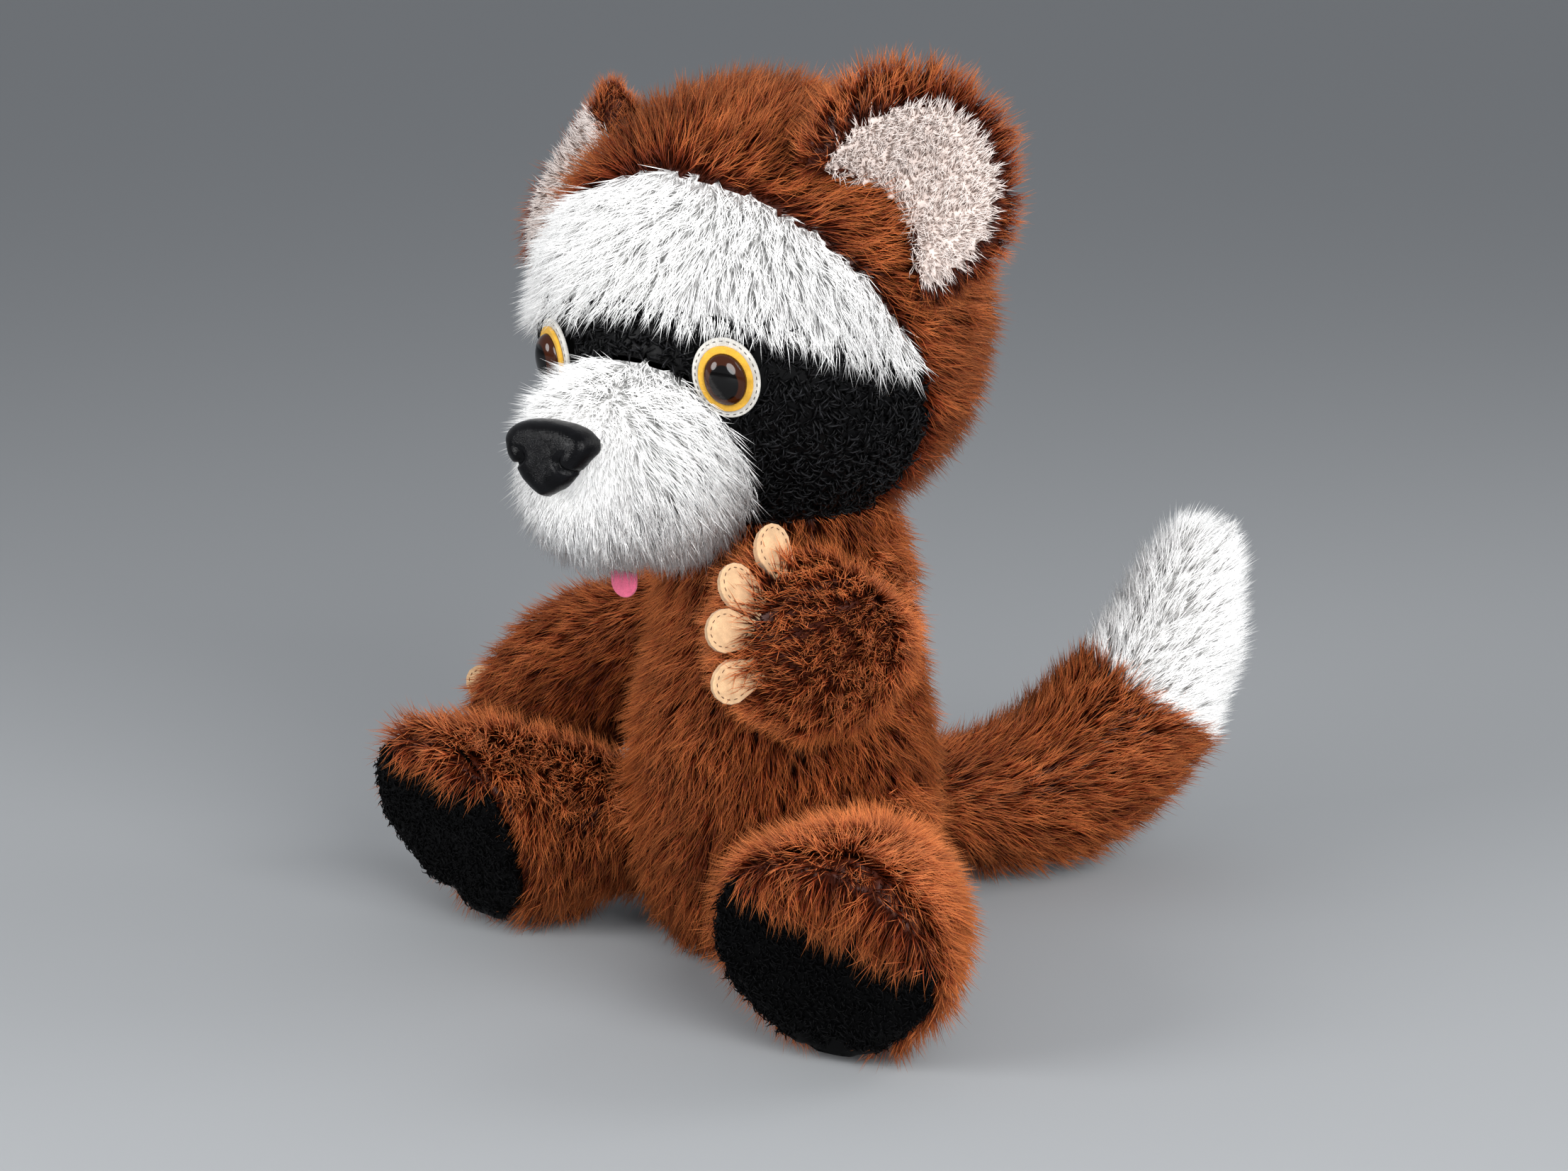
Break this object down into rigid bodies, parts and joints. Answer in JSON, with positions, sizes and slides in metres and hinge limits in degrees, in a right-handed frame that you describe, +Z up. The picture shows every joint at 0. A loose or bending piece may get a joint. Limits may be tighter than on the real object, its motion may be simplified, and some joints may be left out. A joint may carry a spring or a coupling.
{
  "type": "plush raccoon",
  "caption": "Seated plush raccoon with a hooded, masked head that turns on its neck, cupped ears, one hand raised to its chin, black soles and a bent tail with a white tip.",
  "frame": {"origin": "on the floor at the middle of the flat seat under the body", "axes": "+Z up, the raccoon faces -Y, its left side is +X"},
  "size_m": [0.3879, 0.4286, 0.4118],
  "materials": {
    "brown_plush": "long brown pile plush",
    "white_plush": "long white pile plush",
    "black_plush": "short black curly plush",
    "white_felt": "felt",
    "yellow_felt": "felt",
    "tan_felt": "felt",
    "rose_felt": "felt",
    "eye_plastic": "glossy",
    "nose_leatherette": "smooth, semi-gloss",
    "washer_plastic": "matte",
    "stuffing": "loose polyester fibre",
    "thread": "thread"
  },
  "bodies": {
    "torso": {"torso_cover": "brown_plush", "torso_stuffing": "stuffing"},
    "neck": {"neck_thread": "thread"},
    "head": {"hood": "brown_plush", "brow_band": "white_plush", "muzzle_cover": "white_plush", "mask": "black_plush", "head_stuffing": "stuffing", "nose": "nose_leatherette", "tongue": "rose_felt", "left_eye_white_felt": "white_felt", "left_eye_yellow_felt": "yellow_felt", "left_eye": "eye_plastic", "left_eye_washer": "washer_plastic", "right_eye_white_felt": "white_felt", "right_eye_yellow_felt": "yellow_felt", "right_eye": "eye_plastic", "right_eye_washer": "washer_plastic"},
    "left_ear": {"left_ear_back": "brown_plush", "left_ear_front": "white_plush"},
    "right_ear": {"right_ear_back": "brown_plush", "right_ear_front": "white_plush"},
    "left_arm": {"left_arm_cover": "brown_plush", "left_arm_stuffing": "stuffing", "left_claw_1": "tan_felt", "left_claw_2": "tan_felt", "left_claw_3": "tan_felt", "left_claw_4": "tan_felt"},
    "right_arm": {"right_arm_cover": "brown_plush", "right_arm_stuffing": "stuffing", "right_claw_1": "tan_felt", "right_claw_2": "tan_felt", "right_claw_3": "tan_felt", "right_claw_4": "tan_felt"},
    "left_leg": {"left_leg_cover": "brown_plush", "left_leg_stuffing": "stuffing", "left_sole": "black_plush"},
    "right_leg": {"right_leg_cover": "brown_plush", "right_leg_stuffing": "stuffing", "right_sole": "black_plush"},
    "tail": {"tail_cover": "brown_plush", "tail_tip": "white_plush", "tail_stuffing": "stuffing"}
  },
  "joints": [
    {"name": "neck_turn", "type": "hinge", "parent": "torso", "child": "neck", "pos_m": [0, 0, 0.184], "axis": [0, 0, 1], "range_deg": [-30, 10]},
    {"name": "head_nod", "type": "hinge", "parent": "neck", "child": "head", "pos_m": [0, 0, 0.184], "axis": [1, 0, 0], "range_deg": [-16, 6]},
    {"name": "left_shoulder", "type": "hinge", "parent": "torso", "child": "left_arm", "pos_m": [0.044, 0, 0.162], "axis": [0.2496, 0, 0.9684], "range_deg": [0, 60]},
    {"name": "right_shoulder", "type": "hinge", "parent": "torso", "child": "right_arm", "pos_m": [-0.044, 0, 0.162], "axis": [0, 1, 0], "range_deg": [0, 50]},
    {"name": "left_hip", "type": "hinge", "parent": "torso", "child": "left_leg", "pos_m": [0.048, -0.008, 0.046], "axis": [0, 0, 1], "range_deg": [0, 12]},
    {"name": "right_hip", "type": "hinge", "parent": "torso", "child": "right_leg", "pos_m": [-0.048, -0.008, 0.046], "axis": [0, 0, 1], "range_deg": [0, 12]},
    {"name": "tail_wag", "type": "hinge", "parent": "torso", "child": "tail", "pos_m": [0.006, 0.058, 0.056], "axis": [0, 0, 1], "range_deg": [-15, 15]},
    {"name": "left_ear_fold", "type": "hinge", "parent": "head", "child": "left_ear", "pos_m": [0.0863, -0.0395, 0.3533], "axis": [-0.6831, -0.3632, 0.6336], "range_deg": [-15, 15], "stiffness_Nm_per_rad": 0.15},
    {"name": "right_ear_fold", "type": "hinge", "parent": "head", "child": "right_ear", "pos_m": [-0.0863, -0.0395, 0.3533], "axis": [-0.6831, 0.3632, -0.6336], "range_deg": [-15, 15], "stiffness_Nm_per_rad": 0.15}
  ]
}
